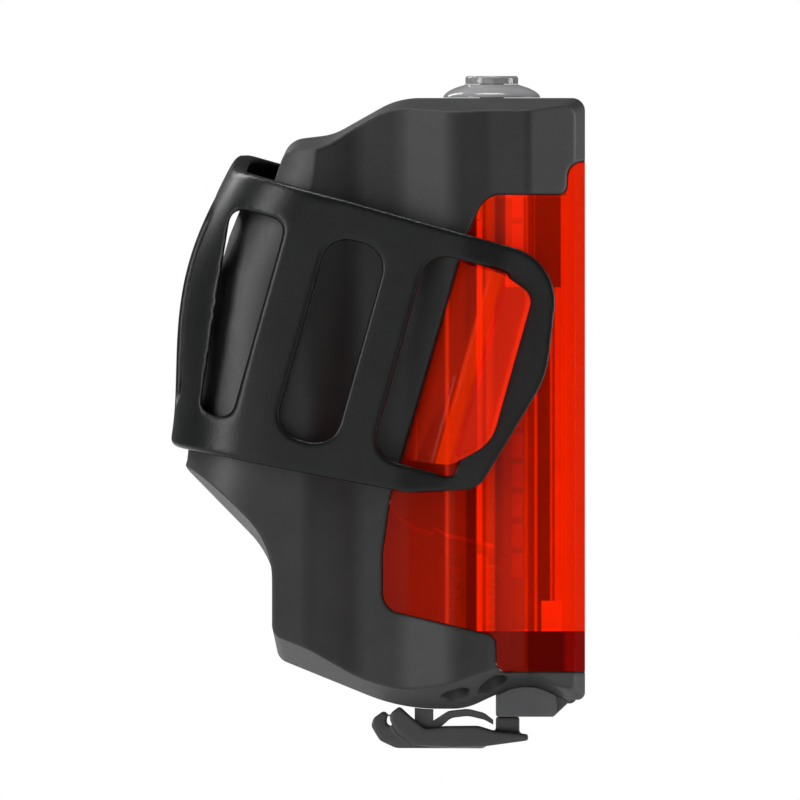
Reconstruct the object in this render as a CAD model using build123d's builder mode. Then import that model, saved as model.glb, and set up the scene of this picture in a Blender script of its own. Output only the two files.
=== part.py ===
"""Bike rear light that a rubber strap holds on a seat post, as separate pieces that fit together.

X points to the rear, Y across and Z up. The origin is in the middle of the light's front edge,
where the post lies in the cradle. All sizes are in millimetres.
"""
from math import cos, radians, sin, tan
import os

from build123d import *

os.makedirs("parts", exist_ok=True)

# Whole light
light_depth = 47.25
roof_height = 27.75
belly_drop = 48.6
wing_half = 15.9
waist_half = 13.0
crest_half = 15.0
flank_half = 14.0
rear_half = 9.75
post_tilt = 15.7
overrun = 20.0
rear_wall_run = 2.0
seam_gap = 0.12
fit_gap = 0.3

# Crowned roof and belly: beyond crown_half the outline shrinks towards the sides
crown_half = 7.4
crown_reach = 17.0
crown_share = 0.92
crown_centre_drop = 10.0

# Walls
shell_wall = 2.0
lens_wall = 1.8
lens_rear_wall = 2.5
lens_rib_height = 1.0
lens_rib_bottom = -27.4
lens_rib_top = 15.6
lens_ribs = ((33.75, 0.65), (35.0, 0.9))

# Cradle and its pad, measured across the leaning post
groove_depth = 5.6
groove_opening = 120.0
horn_gap = 0.5
pad_thickness = 1.3
pad_half = 6.6
pad_low = -7.5
pad_high = 12.5

# Strap: a bowed rubber band, sizes along the post and back from it
strap_thickness = 2.1
strap_half = 18.5
strap_bar_half = 17.4
strap_round = 12.0
strap_top = 19.1
strap_bottom = -15.4
strap_end = 42.8
strap_bend_start = 29.0
strap_bend_end = 33.4
strap_rim = 4.6
strap_foot = 4.2
strap_bow = 4.15
slot_round = 3.2
slot_pitch_front = 6.3
slot_width_front = 7.6
corner_slot_top_front = -0.9
corner_slot_bottom_front = 2.2
corner_slot_rear = 6.2
slot_two = (11.8, 19.5)
slot_hook = (24.3, 35.0)

# Hooks on the lens
hook_root = 28.6
hook_riser = 34.2
hook_reach = 38.4
hook_top = 15.5
hook_bottom = -10.4
hook_half = 19.2
lip_thickness = 1.5
lip_border = 0.55
lip_relief = 0.3
scoop_radius = 2.6
scoop_top = 9.0
hook_base_half = 13.6
ramp_rise_half = 15.6

# Button on the roof
button_x = 35.6
cap_radius = 3.3
cap_top = 30.5
cap_height = 1.0
stem_radius = 1.5
stem_bottom = 25.25
boot_radius = 6.1
boot_neck_radius = 3.15
boot_wall = 0.7
boot_lift = 0.03
guide_radius = 5.2
guide_flange = 1.0
guide_length = 2.6
stem_clearance = 0.08

# Switch and its board
board_thickness = 1.0
switch_board_top = 20.8
switch_board_front = 29.5
switch_board_rear = 43.2
switch_board_half = 8.4
switch_size = 6.2
switch_height = 3.1
plunger_radius = 1.5
plunger_height = 1.0
plunger_travel = 0.3
switch_pocket = 0.7
post_radius = 1.6
post_places = ((31.4, 7.2), (41.9, 7.2))

# Cell
cell_radius = 9.15
cell_length = 50.0
cell_x = 24.4
cell_bottom = -37.6
cell_cap = 2.2
cell_cap_radius = 7.0
cell_seat_radius = 7.2
cell_stop_radius = 4.4
cell_seat_wall = 1.2
cell_edge = 0.6
nub_radius = 3.0
nub_height = 0.6
tab_width = 6.0
tab_thickness = 0.2

# Light engine
core_top = 15.2
core_bottom = -38.6
carrier_front = 34.4
carrier_rear = 36.4
carrier_half = 9.6
side_strip_front = 37.0
side_strip_rear = 39.75
side_strip_half = 9.3
side_strip_thickness = 0.8
led_width = 1.4
led_length = 3.0
led_height = 0.7
led_pitch = 3.75
led_lowest = -30.7
led_count = 13
rear_led_size = 3.5
rear_led_height = 0.9
rear_led_pitch = 7.5
rear_led_count = 6
optic_front = 40.0
optic_rear = 44.3
optic_half = 8.6
optic_rib = 1.4
optic_waist_half = 7.2
baffle_thickness = 0.6
optic_top = 4.0
optic_foot = 3.5
hood_wall = 1.0
skirt_inner = 9.6
skirt_outer = 10.4
skirt_rim_outer = 10.95
skirt_rim = 0.5
skirt_round = 0.6
rail_inner = 7.6
ribbon_gap = 0.1

# Port under the light, its block and its board
port_x = 40.3
port_width = 8.94
port_depth = 3.16
port_shell = 0.3
port_tongue = 0.7
port_bottom = -45.7
port_height = 5.8
port_round = 1.4
block_front = 37.0
block_rear = 44.4
block_half = 7.3
block_top = -39.9
block_bottom = -43.85

# Port door, its pin and pull, and the catch
door_half = 6.8
door_front = 36.1
door_bottom = -49.6
door_chamfer = 2.0
door_gap = 0.06
door_ear_cut = 1.6
hinge_x = 45.3
hinge_z = -47.0
pin_radius = 0.5
pin_half = 6.2
pin_clearance = 0.05
knuckle_radius = 0.95
knuckle_half = 4.4
pull_length = 15.6
pull_half = 4.4
pull_inner = 2.3
pull_floor = -53.4
pull_floor_thickness = 1.2
neck_half = 3.0
catch_half = 1.8

# Screws
screw_radius = 0.8
screw_bore_clearance = 0.05
screw_head_radius = 1.5
screw_head_height = 1.5
screw_head_bottom = -44.4
screw_tip = -30.9
screw_places = ((31.0, 11.1), (35.75, 10.1))
boss_radius = 2.2
boss_top = -29.6
board_screw_radius = 0.7
board_screw_head = 1.3
board_screw_length = 4.0
chip_size = 3.0
chip_height = 0.9

lean_cos = cos(radians(post_tilt))
lean_sin = sin(radians(post_tilt))
post_plane = Plane(origin=(0, 0, 0), x_dir=(lean_cos, 0, -lean_sin), z_dir=(lean_sin, 0, lean_cos))
post_side = Plane(origin=(0, 0, 0), x_dir=(lean_cos, 0, -lean_sin), z_dir=(0, -1, 0))
groove_slope = 1 / tan(radians(groove_opening / 2))


def place(x_share, z_share):
    """A point of the side view: shares of the depth, and of the roof height or the belly drop."""
    height = roof_height if z_share > 0 else belly_drop
    return (x_share * light_depth, z_share * height)


# Side view of the housing, round from the rear top corner: place shares and a radius share
side_shares = [
    (1.0, 1.0, 0.034),
    (0.507, 1.0, 0.21),
    (0.335, 0.835, 0.15),
    (0.218, 0.811, 0.06),
    (0.171, 0.577, 0.03),
    (0.083, 0.519, 0.03),
    (0.0, 0.02, 1.2),
    (-0.069, -0.367, 0.072),
    (0.185, -0.619, 0.25),
    (0.185, -0.870, 0.04),
    (0.514, -1.0, 0.5),
    (0.685, -1.0, 0.16),
    (0.812, -0.942, 0.12),
    (0.875, -0.942, 0.09),
    (0.955, -0.977, 0.03),
    (1.0, -0.977, 0.02),
]

recess_corner = 12
inner_round_share = 1.15

# Side view of the lens, round from the rear face under the roof
seam_shares = [
    (1.0, 0.830, 0.0),
    (0.953, 0.706, 0.04),
    (0.950, 0.568, 0.02),
    (0.735, 0.568, 0.07),
    (0.688, 0.390, 0.06),
    (0.484, -0.455, 0.1),
    (0.463, -0.600, 0.2),
    (0.463, -0.745, 0.055),
    (0.762, -0.814, 0.028),
    (0.764, -0.907, 0.03),
    (1.0, -0.907, 0.0),
]

# How far the strap bows out in front of the post, at some heights along it: shares of strap_bow
bow_stations = [
    (strap_bottom - strap_foot / 2, -0.06),
    (strap_bottom / 2, -0.45),
    (0, -0.87),
    (strap_top / 3, -1.0),
    (strap_top + strap_rim / 2, -0.38),
]

# Plan of the side walls from front to rear: depth share, half width and a radius share
plan_stations = [
    (-0.2, wing_half, 0.0),
    (0.27, wing_half, 0.085),
    (0.39, waist_half, 0.105),
    (0.515, waist_half, 0.127),
    (0.65, crest_half, 0.085),
    (0.745, flank_half, 0.085),
    (0.85, flank_half, 0.042),
    (1.0, rear_half, 0.0),
]


def side_face(inset=0):
    """The housing's side view, or inside it the same view shrunk by an inset, flat over the recess."""
    shares = side_shares
    if inset > 0:
        recess_top = side_shares[recess_corner][1]
        shares = side_shares[:recess_corner + 1] + [(1.0, recess_top, side_shares[0][2])]
    corners = [place(x_share, z_share) for x_share, z_share, _ in shares]
    least = max(inset, 0) * inner_round_share
    radii = [max(radius_share * light_depth, least) for _, _, radius_share in shares]
    with BuildSketch(Plane.XZ) as drawn:
        with BuildLine():
            FilletPolyline(*corners, radius=radii, close=True)
        make_face()
        if inset:
            offset(amount=-inset, kind=Kind.ARC)
    return drawn.sketch


def plan_face(inset=0, rear_inset=0):
    """The plan of the waved side walls, low under the light, shrunk by an inset.

    Without a rear inset it runs past the rear face along the rear chamfer.
    """
    near = [(x_share * light_depth, half - inset) for x_share, half, _ in plan_stations]
    slant = (plan_stations[-2][1] - rear_half) / ((1.0 - plan_stations[-2][0]) * light_depth)
    rear_shift = -rear_inset if rear_inset else rear_wall_run
    near[-1] = (light_depth + rear_shift, near[-1][1] - slant * rear_shift)
    far = [(x, -y) for x, y in reversed(near)]
    radii = [radius_share * light_depth for _, _, radius_share in plan_stations]
    with BuildSketch(Plane.XY.offset(-belly_drop - overrun)) as drawn:
        with BuildLine():
            FilletPolyline(*near, *far, radius=radii + radii[::-1], close=True)
        make_face()
    return drawn.sketch


def front_face(height, front, half, corner):
    """An outline square to the post: flat in front, rounded at its corners, long to the rear."""
    rear = light_depth + overrun
    with BuildSketch(post_plane.offset(height)) as drawn:
        with BuildLine():
            FilletPolyline((front, half), (rear, half), (rear, -half), (front, -half),
                           radius=[corner, corner, corner, corner], close=True)
        make_face()
    return drawn.sketch.face()


def horn_faces(inset=0):
    """The rounded front of the light at some heights along the post, just inside the bowed strap."""
    inward = strap_thickness + horn_gap + inset
    half = strap_half - inward
    below = -belly_drop - overrun
    above = roof_height + overrun
    heights = [below, *(height for height, _ in bow_stations), above]
    bows = [bow_stations[0][1], *(share for _, share in bow_stations), bow_stations[-1][1]]
    return [front_face(height, share * strap_bow + inward, half, strap_round - inward)
            for height, share in zip(heights, bows)]


def seam_face(grow=0):
    """The region of the side view that the lens takes, grown or shrunk by a gap."""
    corners = []
    for x_share, z_share, _ in seam_shares:
        x, z = place(x_share, z_share)
        corners.append((x + overrun if x_share == 1.0 else x, z))
    radii = [radius_share * light_depth for _, _, radius_share in seam_shares]
    with BuildSketch(Plane.XZ) as drawn:
        with BuildLine():
            FilletPolyline(*corners, radius=radii, close=True)
        make_face()
        if grow:
            offset(amount=grow, kind=Kind.ARC)
    return drawn.sketch


def hull(inset=0, rear_inset=0):
    """The whole outer body, or the space inside a wall as thick as the inset."""
    middle = side_face(inset)
    centre = Vector(light_depth, 0, -crown_centre_drop)
    small = middle.moved(Location(-centre)).scale(crown_share).moved(Location(centre))
    plan = plan_face(inset, rear_inset)
    horns = horn_faces(inset)
    with BuildPart() as body:
        for side in (-1, 1):
            inner = middle.moved(Location((0, side * crown_half, 0)))
            outer = small.moved(Location((0, side * crown_reach, 0)))
            loft([inner.face(), outer.face()], ruled=True)
        extrude(middle, crown_half, both=True)
        extrude(plan, 2 * (belly_drop + overrun), mode=Mode.INTERSECT)
        loft(horns, ruled=True, mode=Mode.INTERSECT)
    return body.part


def groove(deeper=0):
    """The V groove for the post, or the same groove moved back by a wall."""
    bottom = groove_depth + deeper
    front = -overrun
    half = (bottom - front) / groove_slope
    with BuildPart() as cut:
        with BuildSketch(post_plane.offset(-belly_drop - overrun)):
            with BuildLine():
                Polyline((bottom, 0), (front, half), (front, -half), close=True)
            make_face()
        extrude(amount=2 * (belly_drop + overrun))
    return cut.part


outer_body = hull()
post_groove = groove()
inner_space = hull(shell_wall, lens_rear_wall) - groove(shell_wall)
housing_cut = extrude(seam_face(), crown_reach + overrun, both=True)
lens_block = extrude(seam_face(-seam_gap), crown_reach + overrun, both=True)
lens_cavity = extrude(plan_face(lens_wall, lens_rear_wall), 2 * (belly_drop + overrun))

# Housing: open shell with the cradle groove, screw bosses and the recess over the port door
with BuildPart() as housing:
    add(outer_body)
    add(post_groove, mode=Mode.SUBTRACT)
    add(inner_space, mode=Mode.SUBTRACT)
    for x, y in screw_places:
        with BuildSketch(Plane.XY.offset(-belly_drop)):
            with Locations((x, y), (x, -y)):
                Circle(boss_radius)
        extrude(amount=belly_drop + boss_top)
    with BuildSketch(Plane.XY.offset(-belly_drop)):
        with Locations((cell_x, 0)):
            Circle(cell_seat_radius)
            Circle(cell_seat_radius - cell_seat_wall, mode=Mode.SUBTRACT)
    extrude(amount=belly_drop + cell_bottom - tab_thickness - cell_cap)
    with BuildSketch(Plane.XY.offset(cell_bottom + cell_length + tab_thickness + cell_cap)):
        with Locations((cell_x, 0)):
            Circle(cell_stop_radius)
            Circle(cell_stop_radius - cell_seat_wall, mode=Mode.SUBTRACT)
    extrude(amount=roof_height)
    add(outer_body, mode=Mode.INTERSECT)
    add(housing_cut, mode=Mode.SUBTRACT)
    for x, y in post_places:
        with BuildSketch(Plane.XY.offset(switch_board_top)):
            with Locations((x, y), (x, -y)):
                Circle(post_radius)
        extrude(amount=roof_height - shell_wall / 2 - switch_board_top)
        with BuildSketch(Plane.XY.offset(switch_board_top)):
            with Locations((x, y), (x, -y)):
                Circle(board_screw_radius + ribbon_gap / 2)
        extrude(amount=board_screw_length, mode=Mode.SUBTRACT)
    for x, y in screw_places:
        with Locations((x, y, screw_head_bottom), (x, -y, screw_head_bottom)):
            Cylinder(screw_head_radius + fit_gap, overrun, mode=Mode.SUBTRACT,
                     align=(Align.CENTER, Align.CENTER, Align.MAX))
            Cylinder(screw_head_radius + fit_gap, screw_head_height, mode=Mode.SUBTRACT,
                     align=(Align.CENTER, Align.CENTER, Align.MIN))
            Cylinder(screw_radius + fit_gap, overrun, mode=Mode.SUBTRACT,
                     align=(Align.CENTER, Align.CENTER, Align.MIN))
    with BuildSketch(Plane.XY.offset(roof_height + overrun)):
        with Locations((button_x, 0)):
            Circle(guide_radius)
    extrude(amount=-(overrun + shell_wall + guide_length), mode=Mode.SUBTRACT)
    with BuildSketch(Plane.XY.offset(block_bottom)):
        with Locations((port_x, 0)):
            RectangleRounded(port_depth + 2 * fit_gap, port_width + 2 * fit_gap, port_round)
    extrude(amount=-overrun, mode=Mode.SUBTRACT)
    with BuildSketch(Plane.XZ):
        with Locations((hinge_x, hinge_z)):
            Circle(knuckle_radius + fit_gap)
    extrude(amount=knuckle_half + fit_gap, both=True, mode=Mode.SUBTRACT)
    with BuildSketch(Plane.XZ):
        with Locations((hinge_x, hinge_z)):
            Circle(pin_radius)
    extrude(amount=pin_half, both=True, mode=Mode.SUBTRACT)
housing.part.label = "housing"

# Lens: waved side walls and flat rear wall, with the two strap hooks, ribs and screw bosses
hook_ramp_half = hook_half - lip_thickness / 3
with BuildPart() as hooks:
    for side in (-1, 1):
        with BuildSketch(post_plane.offset(hook_bottom - overrun)):
            with BuildLine():
                Polyline(
                    (hook_root, side * hook_base_half),
                    (hook_root, side * ramp_rise_half),
                    (hook_riser - lip_thickness, side * hook_ramp_half),
                    (hook_riser, side * hook_half),
                    (hook_reach, side * hook_half),
                    (hook_reach, side * (hook_half - lip_thickness)),
                    (hook_riser, side * (hook_half - lip_thickness)),
                    (hook_riser, side * hook_base_half),
                    close=True,
                )
            make_face()
        extrude(amount=hook_top - hook_bottom + 2 * overrun)
    with BuildSketch(post_side):
        with BuildLine():
            FilletPolyline(
                (hook_root - lip_thickness, hook_top),
                (hook_riser, hook_top),
                (hook_reach, hook_top - lip_thickness),
                (hook_reach, hook_bottom / 2),
                (hook_riser, hook_bottom + lip_thickness * 3 / 4),
                (hook_root - lip_thickness, hook_bottom),
                radius=[lip_thickness * share for share in (0.6, 2.0, 1.4, 3.6, 2.0, 0.6)],
                close=True,
            )
        make_face()
    extrude(amount=hook_half + overrun, both=True, mode=Mode.INTERSECT)

relief_front = hook_riser + lip_border / 2
with BuildPart() as hook_relief:
    with BuildSketch(post_side):
        with BuildLine():
            FilletPolyline(
                (relief_front, hook_top - 3 * lip_border / 2),
                (hook_reach - lip_border, hook_top - lip_thickness - lip_border),
                (hook_reach - lip_border, hook_bottom / 2),
                (relief_front, hook_bottom + lip_thickness * 3 / 4 + 2 * lip_border),
                radius=[lip_border / 2, lip_thickness, lip_thickness * 3, lip_border / 2],
                close=True,
            )
        make_face()
    extrude(amount=hook_half + overrun, both=True)
    with BuildSketch(Plane.XZ):
        Rectangle(4 * light_depth, 4 * light_depth)
    extrude(amount=hook_half - lip_relief, both=True, mode=Mode.SUBTRACT)
scoop_back = (hook_root + hook_riser - lip_thickness) / 2
scoop_side = (ramp_rise_half + hook_ramp_half) / 2 + lip_thickness
with BuildPart() as hook_scoops:
    for side in (-1, 1):
        with BuildSketch(post_plane.offset(hook_bottom - lip_thickness)):
            with Locations((scoop_back, side * scoop_side)):
                Circle(scoop_radius)
        with BuildSketch(post_plane.offset(scoop_top)):
            with Locations((scoop_back + lip_thickness / 2, side * (scoop_side + lip_thickness / 2))):
                Circle(scoop_radius / 4)
        loft()
hook_parts = hooks.part - hook_relief.part - hook_scoops.part
rib_shell = (extrude(plan_face(lens_wall - ribbon_gap, lens_rear_wall), 2 * (belly_drop + overrun))
             - extrude(plan_face(lens_wall + lens_rib_height, lens_rear_wall), 2 * (belly_drop + overrun)))
with BuildPart() as rib_slabs:
    for rib_x, rib_width in lens_ribs:
        with Locations((rib_x + rib_width / 2, 0, (lens_rib_top + lens_rib_bottom) / 2)):
            Box(rib_width, 2 * crown_reach, lens_rib_top - lens_rib_bottom)
inner_ribs = rib_shell & rib_slabs.part

with BuildPart() as lens:
    add(outer_body)
    add(lens_cavity, mode=Mode.SUBTRACT)
    add(inner_ribs)
    for x, y in screw_places:
        with BuildSketch(Plane.XY.offset(-belly_drop)):
            with Locations((x, y), (x, -y)):
                Circle(boss_radius)
        extrude(amount=belly_drop + boss_top)
    add(lens_block, mode=Mode.INTERSECT)
    for x, y in screw_places:
        with BuildSketch(Plane.XY.offset(-belly_drop)):
            with Locations((x, y), (x, -y)):
                Circle(screw_radius + screw_bore_clearance)
        extrude(amount=belly_drop + screw_tip + fit_gap, mode=Mode.SUBTRACT)
        with Locations((x, y, screw_head_bottom), (x, -y, screw_head_bottom)):
            Cylinder(screw_head_radius + fit_gap, screw_head_height + fit_gap, mode=Mode.SUBTRACT,
                     align=(Align.CENTER, Align.CENTER, Align.MIN))
    add(hook_parts)
lens.part.label = "lens"

# Strap: a bowed band, round the front and along both sides, that ends in a bar under each hook
def strap_section(height, front, inward):
    """A closed U round the light at one height along the post, shrunk by the band's thickness."""
    half = strap_half - inward
    bar_half = strap_bar_half - inward
    rear = strap_end + overrun
    near = [(front + inward, half), (strap_bend_start, half), (strap_bend_end, bar_half), (rear, bar_half)]
    far = [(x, -y) for x, y in reversed(near)]
    radii = [strap_round - inward, strap_round, strap_round, 0]
    with BuildSketch(post_plane.offset(height)) as drawn:
        with BuildLine():
            FilletPolyline(*near, *far, radius=radii + radii[::-1], close=True)
        make_face()
    return drawn.sketch.face()


band_outside = [strap_section(height, share * strap_bow, 0) for height, share in bow_stations]
band_inside = [strap_section(height, share * strap_bow, strap_thickness) for height, share in bow_stations]

with BuildPart() as strap:
    loft(band_outside)
    loft(band_inside, mode=Mode.SUBTRACT)
    with BuildSketch(post_side):
        with BuildLine():
            FilletPolyline(
                (-overrun, strap_top),
                (strap_end - strap_rim / 2, strap_top),
                (strap_end, strap_top / 4),
                (hook_riser + strap_foot, strap_bottom + strap_foot),
                (hook_riser - strap_foot, strap_bottom + strap_foot / 3),
                (strap_bottom + strap_bend_start, strap_bottom),
                (-strap_bow * 0.12, strap_bottom - strap_foot / 4),
                (-strap_bow * 0.6, strap_bottom / 2),
                radius=[slot_round, 2.2 * slot_round, 4 * slot_round, slot_round, slot_round,
                        4 * slot_round, slot_round * 0.6, slot_round],
                close=True,
            )
        make_face()
    extrude(amount=strap_half + overrun, both=True, mode=Mode.INTERSECT)
    slot_top = strap_top - strap_rim
    slot_bottom = strap_bottom + strap_foot
    for front, rear in (slot_two, slot_hook):
        hook_side = rear == slot_hook[1]
        top = hook_top + fit_gap if hook_side else slot_top
        bottom = hook_bottom - fit_gap if hook_side else slot_bottom
        with BuildSketch(post_side):
            with Locations(((front + rear) / 2, (top + bottom) / 2)):
                RectangleRounded(rear - front, top - bottom, slot_round)
        extrude(amount=strap_half + overrun, both=True, mode=Mode.SUBTRACT)
    with BuildSketch(post_side):
        with Locations(((slot_hook[1] + hook_root) / 2, (hook_top + hook_bottom) / 2)):
            RectangleRounded(slot_hook[1] - hook_root, hook_top - hook_bottom + 2 * fit_gap,
                             slot_round / 4)
    extrude(amount=strap_half + overrun, both=True, mode=Mode.SUBTRACT)
    with BuildSketch(post_side):
        with BuildLine():
            FilletPolyline(
                (corner_slot_top_front, slot_top),
                (corner_slot_rear, slot_top),
                (corner_slot_rear, slot_bottom),
                (corner_slot_bottom_front, slot_bottom),
                radius=slot_round / 2,
                close=True,
            )
        make_face()
    extrude(amount=strap_half + overrun, both=True, mode=Mode.SUBTRACT)
    with BuildSketch(Plane(origin=(0, 0, 0), x_dir=(0, -1, 0), z_dir=(-lean_cos, 0, lean_sin)).offset(
            -strap_rim)):
        with Locations((slot_pitch_front, (slot_top + slot_bottom) / 2),
                       (-slot_pitch_front, (slot_top + slot_bottom) / 2)):
            RectangleRounded(slot_width_front, slot_top - slot_bottom, slot_round)
    extrude(amount=overrun, mode=Mode.SUBTRACT)
strap.part.label = "strap"

# Cradle pad: a folded rubber strip on both flanks of the groove
pad_step = pad_thickness / sin(radians(groove_opening / 2))
with BuildPart() as cradle_pad:
    with BuildSketch(post_plane.offset(pad_low)):
        with BuildLine():
            Polyline(
                (groove_depth, 0),
                (groove_depth - pad_half * groove_slope, pad_half),
                (groove_depth - pad_half * groove_slope - pad_step, pad_half),
                (groove_depth - pad_step, 0),
                (groove_depth - pad_half * groove_slope - pad_step, -pad_half),
                (groove_depth - pad_half * groove_slope, -pad_half),
                close=True,
            )
        make_face()
    extrude(amount=pad_high - pad_low)
cradle_pad.part.label = "cradle_pad"

# Button: a cap on a stem, a rubber boot under the cap and a guide bush in the roof
cap_bottom = cap_top - cap_height
with BuildPart() as button_cap:
    with BuildSketch(Plane.XY.offset(cap_bottom)):
        with Locations((button_x, 0)):
            Circle(cap_radius)
    extrude(amount=cap_height)
    fillet(button_cap.faces().sort_by(Axis.Z)[-1].edges(), cap_height / 3)
    with BuildSketch(Plane.XY.offset(stem_bottom)):
        with Locations((button_x, 0)):
            Circle(stem_radius)
    extrude(amount=cap_bottom - stem_bottom)
button_cap.part.label = "button_cap"

boot_base = roof_height + boot_lift
boot_top = cap_bottom - boot_lift
boot_rise = boot_top - boot_base
button_axis = Axis((button_x, 0, 0), (0, 0, 1))
with BuildPart() as button_boot:
    with BuildSketch(Plane.XZ):
        with BuildLine():
            Line((button_x + boot_radius - boot_wall, boot_base), (button_x + boot_radius, boot_base))
            Spline(
                (button_x + boot_radius, boot_base),
                (button_x + boot_radius * 0.79, boot_base + boot_rise / 2),
                (button_x + boot_neck_radius, boot_top - boot_rise / 8),
                tangents=[(-1, 2), (-1, 1)],
            )
            Polyline(
                (button_x + boot_neck_radius, boot_top - boot_rise / 8),
                (button_x + boot_neck_radius, boot_top),
                (button_x + boot_neck_radius - boot_wall, boot_top),
                (button_x + boot_neck_radius - boot_wall, boot_top - boot_rise / 2),
                (button_x + boot_radius - boot_wall, boot_base),
            )
        make_face()
    revolve(axis=button_axis)
button_boot.part.label = "button_boot"

roof_under = roof_height - shell_wall
with BuildPart() as button_guide:
    with BuildSketch(Plane.XY.offset(roof_under - guide_flange)):
        with Locations((button_x, 0)):
            Circle(guide_radius + guide_flange)
    extrude(amount=guide_flange)
    with BuildSketch(Plane.XY.offset(roof_under)):
        with Locations((button_x, 0)):
            Circle(guide_radius - seam_gap)
    extrude(amount=shell_wall - boot_lift)
    with Locations((button_x, 0, roof_height)):
        Hole(stem_radius + stem_clearance)
button_guide.part.label = "button_guide"

# Switch under the button: body with a pocket, sprung plunger, and the board that carries it
switch_top = switch_board_top + switch_height
with BuildPart() as tact_switch:
    with BuildSketch(Plane.XY.offset(switch_board_top)):
        with Locations((button_x, 0)):
            Rectangle(switch_size, switch_size)
    extrude(amount=switch_height)
    with BuildSketch(Plane.XY.offset(switch_top - switch_pocket)):
        with Locations((button_x, 0)):
            Circle(plunger_radius + stem_clearance)
    extrude(amount=switch_pocket, mode=Mode.SUBTRACT)
tact_switch.part.label = "tact_switch"

with BuildPart() as switch_plunger:
    with BuildSketch(Plane.XY.offset(switch_top - plunger_travel)):
        with Locations((button_x, 0)):
            Circle(plunger_radius)
    extrude(amount=plunger_travel + plunger_height)
    fillet(switch_plunger.faces().sort_by(Axis.Z)[-1].edges(), plunger_height / 4)
switch_plunger.part.label = "switch_plunger"

with BuildPart() as switch_board:
    with BuildSketch(Plane.XY.offset(switch_board_top - board_thickness)):
        with BuildLine():
            Polyline(
                (switch_board_front, -switch_board_half),
                (switch_board_rear, -switch_board_half),
                (switch_board_rear, switch_board_half),
                (switch_board_front, switch_board_half),
                close=True,
            )
        make_face()
        with Locations(*((x, side * y) for x, y in post_places for side in (-1, 1))):
            Circle(board_screw_radius + stem_clearance, mode=Mode.SUBTRACT)
    extrude(amount=board_thickness)
switch_board.part.label = "switch_board"

with BuildPart() as board_screws:
    for x, y in post_places:
        for side in (-1, 1):
            with BuildSketch(Plane.XY.offset(switch_board_top - board_thickness)):
                with Locations((x, side * y)):
                    Circle(board_screw_radius)
            extrude(amount=board_screw_length)
            with BuildSketch(Plane.XY.offset(switch_board_top - board_thickness)):
                with Locations((x, side * y)):
                    Circle(board_screw_head)
            extrude(amount=-board_thickness)
board_screws.part.label = "board_screws"

with BuildPart() as board_chips:
    with BuildSketch(Plane.XY.offset(switch_board_top - board_thickness)):
        with Locations((button_x - switch_size / 3, switch_size / 3)):
            Rectangle(chip_size, chip_size)
        with Locations((button_x + switch_size / 3, -switch_size / 2)):
            Rectangle(chip_size * 3 / 4, chip_size / 2)
    extrude(amount=-chip_height)
    with BuildSketch(Plane.XY.offset(switch_board_top)):
        with GridLocations(switch_size + chip_size, switch_size, 2, 2):
            with Locations((button_x, 0)):
                Rectangle(chip_size / 3, chip_size / 5)
    extrude(amount=chip_height / 2)
board_chips.part.label = "board_chips"

# Light engine: a carrier plate with side rails, boards with their lamps, and the rear optic


def slab(front, rear, half, low, high):
    """A plain block between two places along X, as wide as twice half, placed by its heights."""
    with BuildPart(mode=Mode.PRIVATE) as made:
        with BuildSketch(Plane.XY.offset(low)):
            with Locations(((front + rear) / 2, 0)):
                Rectangle(rear - front, 2 * half)
        extrude(amount=high - low)
    return made.part


strip_outer = side_strip_half
strip_inner = side_strip_half - side_strip_thickness
with BuildPart() as boss_room:
    for x, y in screw_places:
        with BuildSketch(Plane.XY.offset(core_bottom)):
            with Locations((x, y), (x, -y)):
                Circle(boss_radius + fit_gap)
        extrude(amount=boss_top - core_bottom + fit_gap)
carrier_slab = slab(carrier_front, carrier_rear, carrier_half, core_bottom, core_top)
rail_slab = slab(carrier_rear, optic_front, strip_inner, core_bottom, core_top)
rail_space = slab(carrier_rear, optic_front, rail_inner, core_bottom, core_top)
with BuildPart() as inner_carrier:
    add(carrier_slab)
    add(rail_slab)
    add(rail_space, mode=Mode.SUBTRACT)
    add(boss_room.part, mode=Mode.SUBTRACT)
inner_carrier.part.label = "inner_carrier"

with BuildPart() as led_board:
    add(slab(carrier_rear, carrier_rear + board_thickness, rail_inner - ribbon_gap, core_bottom, core_top))
led_board.part.label = "led_board"

with BuildPart() as rear_leds:
    for number in range(rear_led_count):
        height = led_lowest + number * rear_led_pitch
        for side in (-1, 1):
            with Locations((carrier_rear + board_thickness, side * rear_led_size, height)):
                Box(rear_led_height, rear_led_size, rear_led_size,
                    align=(Align.MIN, Align.CENTER, Align.CENTER))
rear_leds.part.label = "rear_leds"

with BuildPart() as side_led_boards:
    add(slab(side_strip_front, side_strip_rear, strip_outer, core_bottom, core_top))
    add(slab(side_strip_front, side_strip_rear, strip_inner, core_bottom, core_top), mode=Mode.SUBTRACT)
    add(boss_room.part, mode=Mode.SUBTRACT)
side_led_boards.part.label = "side_led_boards"

side_led_x = (side_strip_front + side_strip_rear) / 2 + side_strip_thickness / 2
with BuildPart() as side_leds:
    for number in range(led_count):
        height = led_lowest + number * led_pitch
        for side in (-1, 1):
            with Locations((side_led_x, side * (strip_outer + led_height / 2), height)):
                Box(led_width, led_height, led_length)
side_leds.part.label = "side_leds"

optic_slab = slab(optic_front, optic_rear, optic_half, core_bottom, optic_top)
optic_waist = slab(optic_front + optic_rib, optic_rear - optic_rib, crown_reach,
                   core_bottom + optic_foot, optic_top)
optic_core = slab(optic_front, optic_rear, optic_waist_half, core_bottom, optic_top)
with BuildPart() as rear_optic:
    add(optic_slab)
    add(optic_waist, mode=Mode.SUBTRACT)
    add(optic_core)
rear_optic.part.label = "rear_optic"

with BuildPart() as optic_baffles:
    add(slab(optic_front + optic_rib, optic_rear - optic_rib, optic_waist_half + baffle_thickness,
             core_bottom + optic_foot, optic_top))
    add(slab(optic_front, optic_rear, optic_waist_half, core_bottom, optic_top), mode=Mode.SUBTRACT)
optic_baffles.part.label = "optic_baffles"

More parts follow.
